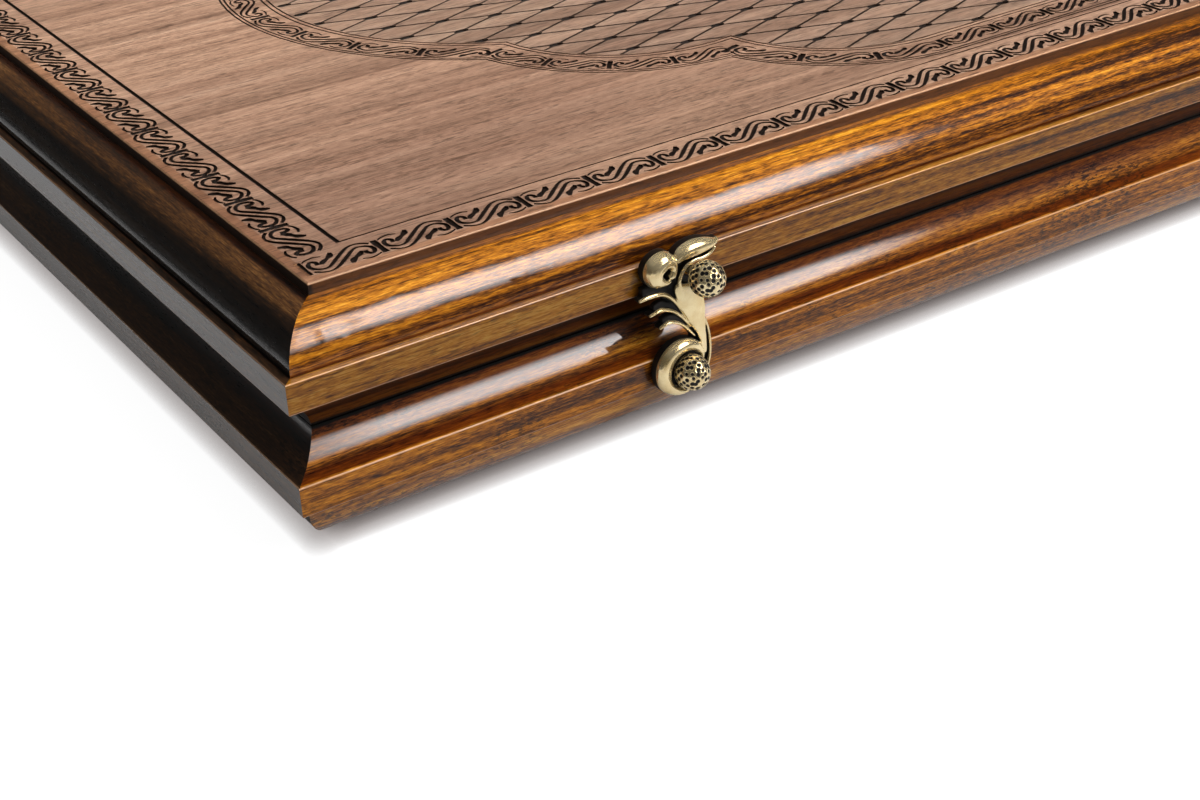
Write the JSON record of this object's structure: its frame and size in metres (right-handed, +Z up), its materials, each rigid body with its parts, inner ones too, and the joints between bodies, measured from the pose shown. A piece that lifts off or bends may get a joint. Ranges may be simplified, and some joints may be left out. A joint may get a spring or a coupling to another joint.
{
  "type": "folding backgammon board",
  "caption": "Folding wooden backgammon board with moulded rails, engraved lid, brass hook latches, hinges and inlaid fields.",
  "frame": {"origin": "middle of the lower panel's outer face, the flat face that the closed board rests on", "axes": "+X along the front towards the right end, -Y towards the latched front, +Z up through the closed board"},
  "size_m": [0.6, 0.3141, 0.051],
  "materials": {
    "stained_beech_rails": "dark stained, high gloss lacquer",
    "stained_panels": "stained, satin lacquer, engraved",
    "playing_fields": "stained, satin lacquer",
    "light_points": "natural veneer, satin lacquer",
    "dark_points": "dark stained veneer, satin lacquer",
    "bare_joinery_beech": "bare",
    "antique_brass": "antiqued, dark in the hollows, polished on top",
    "hinge_brass": "satin",
    "light_checkers": "natural, gloss lacquer",
    "dark_checkers": "dark stained, gloss lacquer",
    "dice": "gloss, dark pips"
  },
  "bodies": {
    "lower_half": {"lower_front_rail": "stained_beech_rails", "lower_left_rail": "stained_beech_rails", "lower_right_rail": "stained_beech_rails", "lower_back_rail": "stained_beech_rails", "lower_panel": "stained_panels", "lower_field": "playing_fields", "lower_light_points": "light_points", "lower_dark_points": "dark_points", "lower_mitre_biscuits": "bare_joinery_beech", "lower_back_dowels": "bare_joinery_beech", "lower_hinge_screws": "hinge_brass", "left_hinge_lower_leaf": "hinge_brass", "right_hinge_lower_leaf": "hinge_brass", "left_hinge_pin": "hinge_brass", "right_hinge_pin": "hinge_brass", "left_latch_pivot_stud": "antique_brass", "right_latch_pivot_stud": "antique_brass", "light_checkers": "light_checkers", "dark_checkers": "dark_checkers", "dice": "dice"},
    "upper_half": {"upper_front_rail": "stained_beech_rails", "upper_left_rail": "stained_beech_rails", "upper_right_rail": "stained_beech_rails", "upper_back_rail": "stained_beech_rails", "upper_panel": "stained_panels", "upper_field": "playing_fields", "upper_light_points": "light_points", "upper_dark_points": "dark_points", "upper_mitre_biscuits": "bare_joinery_beech", "upper_back_dowels": "bare_joinery_beech", "upper_hinge_screws": "hinge_brass", "left_hinge_upper_leaf": "hinge_brass", "right_hinge_upper_leaf": "hinge_brass", "left_latch_catch_stud": "antique_brass", "right_latch_catch_stud": "antique_brass"},
    "left_hook": {"left_latch_hook": "antique_brass"},
    "right_hook": {"right_latch_hook": "antique_brass"}
  },
  "joints": [
    {"name": "lid_hinge", "type": "hinge", "parent": "lower_half", "child": "upper_half", "pos_m": [0, 0.1505, 0.0255], "axis": [-1, 0, 0], "range_deg": [0, 180]},
    {"name": "left_latch", "type": "hinge", "parent": "lower_half", "child": "left_hook", "pos_m": [-0.2156, -0.15, 0.0148], "axis": [0, -1, 0], "range_deg": [0, 90]},
    {"name": "right_latch", "type": "hinge", "parent": "lower_half", "child": "right_hook", "pos_m": [0.2156, -0.15, 0.0148], "axis": [0, -1, 0], "range_deg": [0, 90]}
  ]
}
